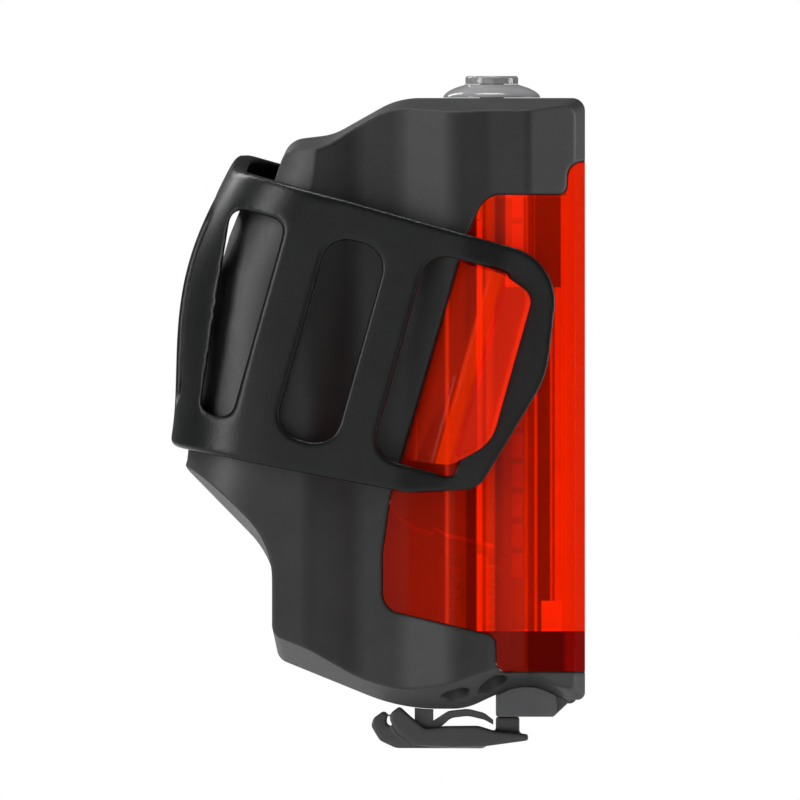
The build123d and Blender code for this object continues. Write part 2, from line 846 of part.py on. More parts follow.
with BuildPart() as optic_hood:
    add(slab(optic_front + optic_rib / 2, optic_rear, optic_half, optic_top, core_top))
    add(slab(optic_front, optic_rear - hood_wall, optic_half - hood_wall,
             optic_top - hood_wall, core_top - hood_wall), mode=Mode.SUBTRACT)
optic_hood.part.label = "optic_hood"

# Light skirts beside the cell: plates with a waved top edge and a raised rim along it
skirt_shares = [
    (0.479, -0.44), (0.493, -0.485), (0.516, -0.509), (0.545, -0.528), (0.597, -0.547), (0.601, -0.528),
    (0.635, -0.549), (0.688, -0.56), (0.757, -0.576), (0.757, -0.785), (0.479, -0.74),
]
with BuildSketch(Plane.XZ) as skirt_face:
    with BuildLine():
        FilletPolyline(*[place(x_share, z_share) for x_share, z_share in skirt_shares],
                       radius=skirt_round / 3, close=True)
    make_face()
skirt_plate = extrude(skirt_face.sketch, skirt_outer, both=True)
skirt_edge = extrude(skirt_face.sketch, skirt_rim_outer, both=True)
skirt_middle = extrude(skirt_face.sketch, skirt_inner, both=True)
with BuildPart() as light_skirts:
    add(skirt_edge)
    add(skirt_edge.moved(Location((0, 0, -skirt_rim))), mode=Mode.SUBTRACT)
    add(skirt_plate)
    add(skirt_middle, mode=Mode.SUBTRACT)
    add(boss_room.part, mode=Mode.SUBTRACT)
light_skirts.part.label = "light_skirts"

# Cell with its contact tabs and end caps
with BuildPart() as battery_cell:
    with BuildSketch(Plane.XY.offset(cell_bottom)):
        with Locations((cell_x, 0)):
            Circle(cell_radius)
    extrude(amount=cell_length - nub_height)
    fillet(battery_cell.edges(), cell_edge)
    with BuildSketch(Plane.XY.offset(cell_bottom + cell_length - nub_height)):
        with Locations((cell_x, 0)):
            Circle(nub_radius)
    extrude(amount=nub_height)
battery_cell.part.label = "battery_cell"

cell_top = cell_bottom + cell_length
tab_rear = carrier_front - ribbon_gap
with BuildPart() as cell_tabs:
    for low, turn in ((cell_bottom - tab_thickness, 1), (cell_top, 1)):
        with Locations((cell_x - nub_radius, 0, low)):
            Box(tab_rear - cell_x + nub_radius, tab_width, tab_thickness,
                align=(Align.MIN, Align.CENTER, Align.MIN))
        with Locations((tab_rear, 0, low)):
            Box(tab_thickness, tab_width, tab_width, align=(Align.MAX, Align.CENTER, Align.MIN))
cell_tabs.part.label = "cell_tabs"

with BuildPart() as cell_caps:
    for low in (cell_bottom - tab_thickness - cell_cap, cell_top + tab_thickness):
        with BuildSketch(Plane.XY.offset(low)):
            with Locations((cell_x, 0)):
                Circle(cell_cap_radius)
        extrude(amount=cell_cap)
cell_caps.part.label = "cell_caps"

# Charging port in its block, and the board above it
with BuildPart() as usb_port:
    with BuildSketch(Plane.XY.offset(port_bottom)):
        with Locations((port_x, 0)):
            RectangleRounded(port_depth, port_width, port_round)
            RectangleRounded(port_depth - 2 * port_shell, port_width - 2 * port_shell,
                             port_round - port_shell, mode=Mode.SUBTRACT)
            Rectangle(port_tongue, port_width - 2 * port_round)
    extrude(amount=port_height)
    with BuildSketch(Plane.XY.offset(block_top)):
        with Locations((port_x, 0)):
            RectangleRounded(port_depth, port_width, port_round)
    extrude(amount=-port_shell * 2)
usb_port.part.label = "usb_port"

port_hole = slab(port_x - port_depth / 2 - ribbon_gap, port_x + port_depth / 2 + ribbon_gap,
                 port_width / 2 + ribbon_gap, block_bottom, block_top)
with BuildPart() as port_block:
    add(slab(block_front, block_rear, block_half, block_bottom, block_top))
    add(port_hole, mode=Mode.SUBTRACT)
port_block.part.label = "port_block"

with BuildPart() as port_board:
    add(slab(block_front, block_rear, block_half, block_top, block_top + board_thickness))
port_board.part.label = "port_board"

# Screws that hold the lens to the housing from below
with BuildPart() as case_screws:
    for x, y in screw_places:
        with BuildSketch(Plane.XY.offset(screw_head_bottom)):
            with Locations((x, y), (x, -y)):
                Circle(screw_head_radius)
        extrude(amount=screw_head_height)
        with BuildSketch(Plane.XY.offset(screw_head_bottom + screw_head_height)):
            with Locations((x, y), (x, -y)):
                Circle(screw_radius)
        extrude(amount=screw_tip - screw_head_bottom - screw_head_height)
        with BuildSketch(Plane.XY.offset(screw_head_bottom)):
            with Locations((x, y), (x, -y)):
                RegularPolygon(screw_head_radius / 2, 6)
        extrude(amount=screw_head_height / 2, mode=Mode.SUBTRACT)
case_screws.part.label = "case_screws"

# Port door on its pin, with the pull under it, and the catch that the pull straddles
roof_of_recess = extrude(side_face(-door_gap), crown_reach, both=True)
with BuildPart() as port_door:
    with BuildSketch(Plane.XZ):
        with BuildLine():
            FilletPolyline(
                (door_front, door_bottom),
                (hinge_x - door_chamfer, door_bottom),
                (hinge_x - pin_radius / 2, hinge_z - knuckle_radius),
                (hinge_x, hinge_z + knuckle_radius),
                (hinge_x - 2 * knuckle_radius, hinge_z + 3 * knuckle_radius),
                (door_front, hinge_z + 3 * knuckle_radius),
                radius=knuckle_radius / 3,
                close=True,
            )
        make_face()
    extrude(amount=door_half, both=True)
    add(roof_of_recess, mode=Mode.SUBTRACT)
    for side in (-1, 1):
        with Locations((hinge_x, side * (knuckle_half + door_half), hinge_z)):
            Box(2 * door_ear_cut, 2 * door_half, overrun, mode=Mode.SUBTRACT)
    with BuildSketch(Plane.XZ):
        with Locations((hinge_x, hinge_z)):
            Circle(knuckle_radius)
    extrude(amount=knuckle_half, both=True)
    with BuildSketch(Plane.XZ):
        with Locations((hinge_x, hinge_z)):
            Circle(pin_radius + pin_clearance)
    extrude(amount=door_half + overrun, both=True, mode=Mode.SUBTRACT)
port_door.part.label = "port_door"

with BuildPart() as door_pin:
    with BuildSketch(Plane.XZ):
        with Locations((hinge_x, hinge_z)):
            Circle(pin_radius)
    extrude(amount=pin_half - ribbon_gap, both=True)
door_pin.part.label = "door_pin"

# Side view of the pull's ears, of its middle tongue and of its neck: shares of the pull's length
# forward of the door's front edge, and of its depth below the door's underside
pull_depth = door_bottom - pull_floor
ear_shares = [
    (0.77, -0.35, 0.02), (0.87, -0.05, 0.07), (0.80, 0.50, 0.08), (0.66, 0.93, 0.06), (0.35, 1.0, 0.05),
    (0.1, 0.98, 0.02), (-0.26, 0.78, 0.01), (-0.26, 0.57, 0.01), (0.0, 0.47, 0.02), (0.14, 0.29, 0.03),
    (0.42, 0.30, 0.03), (0.56, 0.38, 0.03), (0.67, 0.02, 0.03),
]
tongue_shares = [
    (0.90, -0.20, 0.01), (0.98, 0.04, 0.01), (1.0, 0.3, 0.03), (0.93, 0.78, 0.06), (0.8, 1.03, 0.06),
    (0.1, 1.04, 0.03), (0.0, 0.75, 0.02), (0.55, 0.68, 0.03), (0.72, 0.62, 0.05), (0.88, 0.2, 0.03),
    (0.86, -0.1, 0.01),
]
neck_shares = [(0.0, 0.0, 0.0), (-0.19, 0.0, 0.0), (-0.19, 0.75, 0.0), (0.0, 0.75, 0.0)]


def pull_outline(shares):
    """A closed side outline of one piece of the pull."""
    corners = [(door_front - along * pull_length, door_bottom - down * pull_depth)
               for along, down, _ in shares]
    radii = [share * pull_length for _, _, share in shares]
    with BuildSketch(Plane.XZ) as drawn:
        with BuildLine():
            FilletPolyline(*corners, radius=radii, close=True)
        make_face()
    return drawn.sketch


ears = extrude(pull_outline(ear_shares), pull_half, both=True)
ear_space = extrude(pull_outline(ear_shares), pull_inner, both=True)
tongue = extrude(pull_outline(tongue_shares), pull_inner, both=True)
neck = extrude(pull_outline(neck_shares), neck_half, both=True)
with BuildPart() as door_pull:
    add(ears)
    add(ear_space, mode=Mode.SUBTRACT)
    add(tongue)
    add(neck)
door_pull.part.label = "door_pull"

arch_shares = [
    (0.50, -0.33, 0.0), (0.65, -0.33, 0.0), (0.65, 0.37, 0.0), (0.50, 0.37, 0.0), (0.43, 0.3, 0.0),
    (0.36, 0.04, 0.1), (0.22, -0.03, 0.2), (0.09, 0.1, 0.1), (0.02, 0.26, 0.0), (0.02, 0.10, 0.0),
    (0.09, -0.13, 0.1), (0.22, -0.27, 0.2), (0.38, -0.2, 0.1), (0.50, 0.12, 0.0),
]
arch = extrude(pull_outline(arch_shares), catch_half, both=True)
with BuildPart() as catch_bracket:
    add(arch)
    add(outer_body.moved(Location((0, 0, -ribbon_gap / 2))), mode=Mode.SUBTRACT)
catch_bracket.part.label = "catch_bracket"

pieces = [
    housing, lens, strap, cradle_pad, button_cap, button_boot, button_guide, tact_switch,
    switch_plunger, switch_board, board_screws, board_chips, inner_carrier, led_board, rear_leds,
    side_led_boards, side_leds, light_skirts, rear_optic, optic_baffles, optic_hood, battery_cell,
    cell_tabs, cell_caps, usb_port,
    port_block, port_board, case_screws, port_door, door_pin, door_pull, catch_bracket,
]
for piece in pieces:
    export_step(piece.part, f"parts/{piece.part.label}.step")
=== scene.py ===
# %% [markdown]
# # Bike rear light in a studio
# The CAD frame brings the light as separate nodes: a dark shell, a red lens with two hooks, a
# rubber ladder strap, a button, a door for the port and what sits inside. This lesson gives every
# node a procedural material, models the rubber pieces again as soft forms, and lights the whole.

import math

import bpy
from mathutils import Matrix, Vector


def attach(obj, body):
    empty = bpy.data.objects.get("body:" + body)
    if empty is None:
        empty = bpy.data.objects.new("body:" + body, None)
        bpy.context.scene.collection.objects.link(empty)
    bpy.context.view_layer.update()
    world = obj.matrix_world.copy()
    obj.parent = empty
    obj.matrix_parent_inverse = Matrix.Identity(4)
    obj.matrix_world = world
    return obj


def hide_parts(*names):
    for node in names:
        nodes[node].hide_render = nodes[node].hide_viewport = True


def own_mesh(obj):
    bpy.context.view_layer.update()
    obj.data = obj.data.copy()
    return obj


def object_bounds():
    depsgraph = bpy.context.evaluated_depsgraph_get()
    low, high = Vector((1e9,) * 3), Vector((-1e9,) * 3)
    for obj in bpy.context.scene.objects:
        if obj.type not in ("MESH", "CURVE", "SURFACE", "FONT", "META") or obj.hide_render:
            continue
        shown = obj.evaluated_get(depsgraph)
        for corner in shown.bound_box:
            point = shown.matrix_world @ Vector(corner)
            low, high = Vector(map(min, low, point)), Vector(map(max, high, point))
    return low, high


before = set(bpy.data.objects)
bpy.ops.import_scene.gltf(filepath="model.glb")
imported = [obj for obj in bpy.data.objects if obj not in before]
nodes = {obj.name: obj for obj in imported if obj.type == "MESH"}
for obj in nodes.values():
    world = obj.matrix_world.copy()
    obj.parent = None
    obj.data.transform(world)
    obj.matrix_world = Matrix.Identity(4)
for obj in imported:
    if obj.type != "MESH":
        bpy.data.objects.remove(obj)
low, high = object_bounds()
print("nodes:", len(nodes), "box:", list(low), list(high))

MM = 0.001
TILT = math.radians(15.7)

# %% [markdown]
# ## Small helpers for node trees
# Every texture reads Object coordinates. The objects sit at the origin of the frame, so a noise
# scale of 1000 gives features of about one millimetre. The trees could be wired by hand in the
# shader editor, but the same few nodes stand in every finish, so small functions add them and link
# them.

# %% Helpers for node trees
BEVEL_SAMPLES = 6


def new_material(name):
    """An empty material with its Principled shader: (material, tree, principled)."""
    made = bpy.data.materials.new(name)
    made.use_nodes = True
    tree = made.node_tree
    return made, tree, tree.nodes["Principled BSDF"]


def object_place(tree):
    """The place on the object, in metres of the frame."""
    return tree.nodes.new("ShaderNodeTexCoord").outputs["Object"]


def object_axes(tree):
    """The same place as three factors X, Y and Z."""
    parts = tree.nodes.new("ShaderNodeSeparateXYZ")
    tree.links.new(object_place(tree), parts.inputs["Vector"])
    return parts.outputs


def math_node(tree, operation, first, second=0.0):
    """One operation on a linked factor and a constant or a second factor."""
    made = tree.nodes.new("ShaderNodeMath")
    made.operation = operation
    tree.links.new(first, made.inputs[0])
    if isinstance(second, float):
        made.inputs[1].default_value = second
    else:
        tree.links.new(second, made.inputs[1])
    return made.outputs["Value"]


def noise(tree, scale, detail, roughness=0.55):
    """Fractal noise in object space."""
    made = tree.nodes.new("ShaderNodeTexNoise")
    made.inputs["Scale"].default_value = scale
    made.inputs["Detail"].default_value = detail
    made.inputs["Roughness"].default_value = roughness
    tree.links.new(object_place(tree), made.inputs["Vector"])
    return made.outputs["Fac"]


def ramp(tree, factor, stops):
    """A colour ramp through (place, colour) stops."""
    made = tree.nodes.new("ShaderNodeValToRGB")
    line = made.color_ramp
    for number, (place, colour) in enumerate(stops):
        stop = line.elements[number] if number < 2 else line.elements.new(place)
        stop.position = place
        stop.color = (*colour, 1.0)
    tree.links.new(factor, made.inputs["Fac"])
    return made.outputs["Color"]


def levels(tree, factor, bottom, top):
    """The factor spread from bottom to top."""
    made = tree.nodes.new("ShaderNodeMapRange")
    made.inputs["To Min"].default_value = bottom
    made.inputs["To Max"].default_value = top
    tree.links.new(factor, made.inputs["Value"])
    return made.outputs["Result"]


def bump(tree, height, strength, distance, edge=0.0):
    """A bump from a height factor, over edges that look rounded by a radius."""
    made = tree.nodes.new("ShaderNodeBump")
    made.inputs["Strength"].default_value = strength
    made.inputs["Distance"].default_value = distance
    tree.links.new(height, made.inputs["Height"])
    if edge:
        soft = tree.nodes.new("ShaderNodeBevel")
        soft.samples = BEVEL_SAMPLES
        soft.inputs["Radius"].default_value = edge
        tree.links.new(soft.outputs["Normal"], made.inputs["Normal"])
    return made.outputs["Normal"]


# %% [markdown]
# ## Solid finishes
# A moulded part never has one flat colour. Its skin could be a picture wrapped round it, but that
# needs the form unwrapped and blurs up close, so noise in object space is used instead. Broad noise
# drifts the colour, finer noise makes the gloss uneven, and the finest is a grain in relief. One
# function makes them all, so that a finish is one call and the shells, boards and rubber differ
# only where the real ones do.

# %% A solid finish
WEAR, FINER = 260.0, 6.0
BROAD_DETAIL, UNEVEN_DETAIL, GRAIN_DETAIL = 5.0, 4.0, 2.0
DRIFT_START, DRIFT_END = 0.3, 0.7
GRAIN_STRENGTH = 0.35
ROUGH_SPREAD = 0.07
COAT_ROUGH = 0.08
SHARP_EDGE = 0.15 * MM


def surface(name, dark, light, rough, grain, relief, metallic=0.0, wear=WEAR, coat=0.0,
            edge=SHARP_EDGE, shine=0.5):
    """A solid finish: broad colour wear, uneven roughness and a fine grain in relief."""
    made, tree, shader = new_material(name)
    drift = [(DRIFT_START, dark), (DRIFT_END, light)]
    broad = noise(tree, wear, BROAD_DETAIL)
    tree.links.new(ramp(tree, broad, drift), shader.inputs["Base Color"])
    uneven = noise(tree, wear * FINER, UNEVEN_DETAIL)
    tree.links.new(levels(tree, uneven, rough - ROUGH_SPREAD, rough + ROUGH_SPREAD),
                   shader.inputs["Roughness"])
    fine = noise(tree, grain, GRAIN_DETAIL)
    tree.links.new(bump(tree, fine, GRAIN_STRENGTH, relief, edge), shader.inputs["Normal"])
    shader.inputs["Specular IOR Level"].default_value = shine
    shader.inputs["Metallic"].default_value = metallic
    shader.inputs["Coat Weight"].default_value = coat
    shader.inputs["Coat Roughness"].default_value = COAT_ROUGH
    return made


# %% [markdown]
# ## Clear plastics
# The lens is tinted through its depth. Real refraction through its many thin walls would be slow
# and noisy, so each wall lets part of the light straight through with its own tint, scatters a part
# and mirrors a little at a glancing angle. Faint flow marks break the mirror up.

# %% A clear finish
FLOW, FLOW_FINER = 220.0, 3.0
FLOW_STRENGTH, FLOW_RELIEF = 0.15, 0.02 * MM
CLOUD_START, CLOUD_END = 0.35, 0.65
CLEAR_EDGE = 0.2 * MM
SCATTER_ROUGH = 0.35
SOLID_SPREAD = 0.05
DEEPER = 0.8


def clear(name, tint, body, solid, rough, ior, gloss=1.0):
    """A tinted clear plastic: solid is the share that scatters, the rest passes with the tint."""
    made, tree, shader = new_material(name)
    cloud = noise(tree, FLOW, UNEVEN_DETAIL)
    deep = tuple(channel * DEEPER for channel in body)
    drift = [(CLOUD_START, deep), (CLOUD_END, body)]
    tree.links.new(ramp(tree, cloud, drift), shader.inputs["Base Color"])
    shader.inputs["Roughness"].default_value = SCATTER_ROUGH
    shader.inputs["Specular IOR Level"].default_value = 0.0
    marks = noise(tree, FLOW * FLOW_FINER, GRAIN_DETAIL)
    relief = bump(tree, marks, FLOW_STRENGTH, FLOW_RELIEF, CLEAR_EDGE)
    tree.links.new(relief, shader.inputs["Normal"])
    through = tree.nodes.new("ShaderNodeBsdfTransparent")
    through.inputs["Color"].default_value = (*tint, 1.0)
    mixed = tree.nodes.new("ShaderNodeMixShader")
    tree.links.new(levels(tree, cloud, solid - SOLID_SPREAD, solid + SOLID_SPREAD),
                   mixed.inputs["Fac"])
    tree.links.new(through.outputs["BSDF"], mixed.inputs[1])
    tree.links.new(shader.outputs["BSDF"], mixed.inputs[2])
    mirror = tree.nodes.new("ShaderNodeBsdfGlossy")
    mirror.inputs["Roughness"].default_value = rough
    tree.links.new(relief, mirror.inputs["Normal"])
    glance = tree.nodes.new("ShaderNodeFresnel")
    glance.inputs["IOR"].default_value = ior
    tree.links.new(relief, glance.inputs["Normal"])
    whole = tree.nodes.new("ShaderNodeMixShader")
    tree.links.new(math_node(tree, "MULTIPLY", glance.outputs["Fac"], gloss), whole.inputs["Fac"])
    tree.links.new(mixed.outputs["Shader"], whole.inputs[1])
    tree.links.new(mirror.outputs["BSDF"], whole.inputs[2])
    sink = tree.nodes["Material Output"]
    tree.links.new(whole.outputs["Shader"], sink.inputs["Surface"])
    return made


# %% [markdown]
# ## Depth of the red
# The lens wall is fluted: where it is thick the red is deep, where it is thin it is bright, and
# there a painted glow brightens it further. The flutes run up the light, so their depth follows X,
# and the hooks have flutes of their own that lean with the post. A few zones differ: the plain foot
# of the lamps, the thick wall below them, and the hood and bright panel at the top. Cutting every
# flute would take far more faces than it shows, so the material holds them. Each row is a place in
# millimetres and a depth, from 0 for the deepest red to 1 for the brightest. A zone's row is its
# left, right, bottom, top and depth.

# %% Where the red is deep and where it is bright
FLUTES = [
    (21.5, 0.30), (29.6, 0.34), (30.0, 1.0), (30.4, 0.45), (32.3, 0.40), (32.5, 0.16), (33.6, 0.16),
    (33.8, 1.0), (34.4, 0.9), (34.6, 0.5), (35.0, 0.95), (35.9, 0.8), (36.1, 0.42), (37.2, 0.5),
    (39.6, 0.6), (39.9, 1.0), (40.2, 0.45), (40.8, 0.4), (41.1, 1.0), (41.4, 0.34), (42.8, 0.36),
    (43.0, 1.0), (43.3, 0.4), (43.6, 0.95), (44.6, 0.8), (45.0, 0.7), (47.2, 0.62),
]
LAMP_FOOT = -38.90
HOOD_FOOT = 4.10
ZONES = [
    (41.80, 44.30, LAMP_FOOT, -35.10, 1.00),
    (20.00, 40.10, -50.00, LAMP_FOOT, 0.22),
    (40.10, 48.00, -50.00, LAMP_FOOT, 0.05),
    (41.00, 44.20, HOOD_FOOT, 17.00, 0.40),
    (37.30, 39.60, HOOD_FOOT, 17.00, 1.00),
]
HOOK_FROM = 16.2
HOOK_FLUTES = [
    (22.0, 0.55), (31.4, 0.34), (32.2, 0.42), (32.4, 1.0), (34.0, 1.0), (34.2, 0.7), (37.6, 0.74),
    (38.0, 1.0), (42.0, 1.0),
]
DEEP_BODY, BRIGHT_BODY = (0.20, 0.001, 0.0, 1.0), (1.0, 0.036, 0.0, 1.0)
DEEP_TINT, BRIGHT_TINT = (0.42, 0.02, 0.005, 1.0), (1.0, 0.12, 0.014, 1.0)
PAINTED_GLOW = 0.55

# %% [markdown]
# The depth is worked out as one factor and then mixes two bodies and two tints. The same factor
# drives a weak painted glow: the lens gives off its own red where it is thin, standing in for the
# light that a clear lens in a white room gathers through its edges. The mix node has sockets of one
# name for each kind of value, so they are picked by number.

# %% The fluted lens
MIX_SHARE, MIX_DEEP, MIX_BRIGHT, MIX_COLOUR = 0, 6, 7, 2


def depth_along(tree, place, flutes):
    """The depth read from a list of (millimetre, depth) along a place factor in metres."""
    along = tree.nodes.new("ShaderNodeMapRange")
    along.inputs["From Min"].default_value = flutes[0][0] * MM
    along.inputs["From Max"].default_value = flutes[-1][0] * MM
    tree.links.new(place, along.inputs["Value"])
    span = flutes[-1][0] - flutes[0][0]
    stops = [((x - flutes[0][0]) / span, (depth, depth, depth)) for x, depth in flutes]
    return ramp(tree, along.outputs["Result"], stops)


def between(tree, place, first, last):
    """1 where a place factor in metres lies between two places in millimetres, else 0."""
    return math_node(tree, "MULTIPLY", math_node(tree, "GREATER_THAN", place, first * MM),
                     math_node(tree, "LESS_THAN", place, last * MM))


def blended(tree, share, deep, bright):
    """A colour between deep and bright."""
    made = tree.nodes.new("ShaderNodeMix")
    made.data_type = "RGBA"
    tree.links.new(share, made.inputs[MIX_SHARE])
    made.inputs[MIX_DEEP].default_value = deep
    made.inputs[MIX_BRIGHT].default_value = bright
    return made.outputs[MIX_COLOUR]


def fluted(made):
    """The depth of the red: body and tint follow the flutes, and on the hook its own ribs; a
    painted glow follows the same depth.
    """
    tree = made.node_tree
    axes = object_axes(tree)
    along = math_node(tree, "MULTIPLY", axes["X"], math.cos(TILT))
    leaning = math_node(tree, "SUBTRACT", along,
                        math_node(tree, "MULTIPLY", axes["Z"], math.sin(TILT)))
    share = depth_along(tree, axes["X"], FLUTES)
    for left, right, bottom, top, depth in ZONES:
        inside = math_node(tree, "MULTIPLY", between(tree, axes["X"], left, right),
                           between(tree, axes["Z"], bottom, top))
        change = math_node(tree, "MULTIPLY", math_node(tree, "SUBTRACT", share, depth), inside)
        share = math_node(tree, "SUBTRACT", share, change)
    across = math_node(tree, "ABSOLUTE", axes["Y"])
    on_hook = math_node(tree, "GREATER_THAN", across, HOOK_FROM * MM)
    hook = depth_along(tree, leaning, HOOK_FLUTES)
    share = math_node(tree, "MAXIMUM", share, math_node(tree, "MULTIPLY", on_hook, hook))
    body = blended(tree, share, DEEP_BODY, BRIGHT_BODY)
    principled = tree.nodes["Principled BSDF"]
    tree.links.new(body, principled.inputs["Base Color"])
    # Painted glow: the lens emits its own red, stronger where it is bright, though it is no lamp.
    tree.links.new(body, principled.inputs["Emission Color"])
    tree.links.new(math_node(tree, "MULTIPLY", share, PAINTED_GLOW),
                   principled.inputs["Emission Strength"])
    tree.links.new(blended(tree, share, DEEP_TINT, BRIGHT_TINT),
                   tree.nodes["Transparent BSDF"].inputs["Color"])


# %% [markdown]
# ## Shell, door and clear parts
# The outside is a matt dark shell with a soft light line where roof and wall meet, a slightly
# lighter door, the red lens and a smoked button cap. A Bevel modifier would round those edges, but
# it would change the CAD mesh, which stays as it is. So a wide edge radius in the shader draws the
# line.

# %% Finishes that are seen from outside
shell = surface("fine_matt_shell", (0.0075, 0.0075, 0.0078), (0.0110, 0.0110, 0.0113),
                rough=0.52, grain=5200.0, relief=0.04 * MM, edge=0.7 * MM, shine=0.36)
door = surface("door_plastic", (0.030, 0.031, 0.033), (0.044, 0.045, 0.047),
               rough=0.44, grain=4800.0, relief=0.04 * MM, edge=0.3 * MM)
red = clear("red_lens", BRIGHT_TINT[:3], BRIGHT_BODY[:3],
            solid=0.25, rough=0.2, ior=1.3, gloss=0.16)
fluted(red)
optic = clear("frosted_optic", (0.95, 0.9, 0.88), (0.95, 0.93, 0.9),
              solid=0.6, rough=0.25, ior=1.3)
smoke = clear("smoked_cap", (0.62, 0.62, 0.62), (0.20, 0.20, 0.205),
              solid=0.75, rough=0.12, ior=1.45)
print("outside:", shell.name, door.name, red.name, optic.name, smoke.name)

# %% [markdown]
# ## Parts behind the lens and inside
# Through the red lens the pale lamp boards, the lamps and the bright rims read as light bands, and
# the carrier as dark ones. Each could have a finish worked out in full, but the red lens leaves
# only light and dark of them, so the one function serves. The colours are those of the usual
# materials: white board mask, yellow phosphor, green board, blue cell wrap, nickel tabs and steel.

# %% Finishes of the inner parts
SHEEN, GRAIN = 0.02 * MM, 0.03 * MM
guide = surface("guide_plastic", (0.012, 0.012, 0.012), (0.020, 0.020, 0.020),
                rough=0.45, grain=4200.0, relief=GRAIN)
carrier = surface("carrier_plastic", (0.020, 0.020, 0.020), (0.032, 0.032, 0.032),
                  rough=0.42, grain=3600.0, relief=GRAIN)
plunger = surface("plunger_plastic", (0.62, 0.60, 0.54), (0.72, 0.70, 0.64),
                  rough=0.4, grain=3000.0, relief=SHEEN)
board = surface("board_mask", (0.008, 0.070, 0.030), (0.014, 0.100, 0.045),
                rough=0.3, grain=2600.0, relief=SHEEN, coat=0.4)
strip = surface("strip_mask", (0.30, 0.28, 0.25), (0.38, 0.36, 0.33),
                rough=0.34, grain=2600.0, relief=SHEEN, coat=0.2)
chips = surface("chip_resin", (0.012, 0.012, 0.012), (0.020, 0.020, 0.020),
                rough=0.4, grain=6000.0, relief=GRAIN)
lamp = surface("lamp_phosphor", (0.85, 0.80, 0.62), (0.95, 0.92, 0.80),
               rough=0.25, grain=2400.0, relief=SHEEN / 2.0, coat=0.3)
wrap = surface("cell_wrap", (0.035, 0.150, 0.400), (0.050, 0.190, 0.480),
               rough=0.3, grain=1200.0, relief=GRAIN, coat=0.3)
STEEL = {"dark": (0.50, 0.50, 0.50), "light": (0.66, 0.66, 0.66),
         "rough": 0.28, "grain": 5200.0, "relief": SHEEN, "metallic": 1.0}
steel = surface("screw_steel", **STEEL)
nickel = surface("tab_nickel", (0.58, 0.56, 0.52), (0.72, 0.70, 0.66),
                 rough=0.35, grain=2600.0, relief=SHEEN, metallic=1.0)
print("inside:", guide.name, carrier.name, plunger.name, board.name, strip.name, chips.name,
      lamp.name, wrap.name, steel.name, nickel.name)

# %% [markdown]
# ## Two finishes that follow the form
# The skirts carry a bright rim on a dark plate, told apart by the reach across. The case screws
# show a thread through the lens. It could be swept as a helix, but at this size a wave along Z in
# relief gives the same ridges on a plain shank. At a scale of 1 the wave node runs through 20
# radians in each metre, so its scale follows from the pitch.

# %% Rims and threads
RIM_REACH = 10.6 * MM
THREAD_PITCH, THREAD_DEPTH, THREAD_EDGE = 0.8 * MM, 0.3 * MM, 0.1 * MM
WAVE_RATE = 20.0


def rimmed(name, plate, rim, reach):
    """A moulded plate whose rim, beyond a reach from the centre plane, has its own colour."""
    made = surface(name, plate, plate, rough=0.4, grain=3600.0, relief=GRAIN)
    tree = made.node_tree
    far = math_node(tree, "ABSOLUTE", object_axes(tree)["Y"])
    raised = math_node(tree, "GREATER_THAN", far, reach)
    tree.links.new(ramp(tree, raised, [(0.4, plate), (0.6, rim)]),
                   tree.nodes["Principled BSDF"].inputs["Base Color"])
    return made


def threaded(name, pitch):
    """Bright steel with a thread's ridges along Z in relief."""
    made = surface(name, **STEEL)
    tree = made.node_tree
    wave = tree.nodes.new("ShaderNodeTexWave")
    wave.bands_direction = "Z"
    wave.inputs["Scale"].default_value = 2.0 * math.pi / (WAVE_RATE * pitch)
    tree.links.new(object_place(tree), wave.inputs["Vector"])
    ridges = bump(tree, wave.outputs["Fac"], strength=1.0, distance=THREAD_DEPTH,
                  edge=THREAD_EDGE)
    tree.links.new(ridges, tree.nodes["Principled BSDF"].inputs["Normal"])
    return made


skirts = rimmed("skirt_plastic", (0.09, 0.09, 0.085), (0.9, 0.88, 0.84), RIM_REACH)
thread = threaded("screw_thread", THREAD_PITCH)
print("following the form:", skirts.name, thread.name)

# %% [markdown]
# ## Dressing the nodes
# Each CAD node keeps its shape and place and takes one finish. That could be done node by node
# where each finish is made, but in one table nothing is forgotten. The rubber nodes aren't in it,
# because soft pieces take their place below.

# %% One finish for each hard node
finishes = {
    "housing": shell, "lens": red, "case_screws": thread,
    "button_cap": smoke, "button_guide": guide, "tact_switch": chips, "switch_plunger": plunger,
    "switch_board": board, "board_screws": steel, "board_chips": chips,
    "inner_carrier": carrier, "led_board": strip, "rear_leds": lamp, "side_led_boards": strip,
    "side_leds": lamp, "light_skirts": skirts, "rear_optic": optic, "optic_baffles": guide,
    "optic_hood": guide,
    "battery_cell": wrap, "cell_tabs": nickel, "cell_caps": guide,
    "usb_port": steel, "port_block": chips, "port_board": board,
    "port_door": door, "door_pin": steel, "catch_bracket": door,
}
for name, finish in finishes.items():
    held = nodes[name]
    held.data.materials.clear()
    held.data.materials.append(finish)
print("dressed nodes:", len(finishes))


# %% [markdown]
# ## Soft pieces
# Rubber has no sharp edges. A soft piece could be modelled from a cube under a subdivision surface,
# but then it would have to be fitted to its neighbours again. So each starts from the node's mesh,
# which keeps the form that the CAD gave it. It is rebuilt as an even skin of small squares, which
# can then be smoothed and shaped like clay.

# %% Helpers for soft pieces
SMOOTHING = 0.5


def select_only(made):
    """Make one object the selected and active one."""
    bpy.ops.object.select_all(action="DESELECT")
    bpy.context.view_layer.objects.active = made
    made.select_set(True)


def smoothed(made, rounds, group=""):
    """Let the skin settle over some rounds, all over or with a vertex group's weights."""
    select_only(made)
    settle = made.modifiers.new("settle", "SMOOTH")
    settle.factor = SMOOTHING
    settle.iterations = rounds
    settle.vertex_group = group
    bpy.ops.object.modifier_apply(modifier=settle.name)


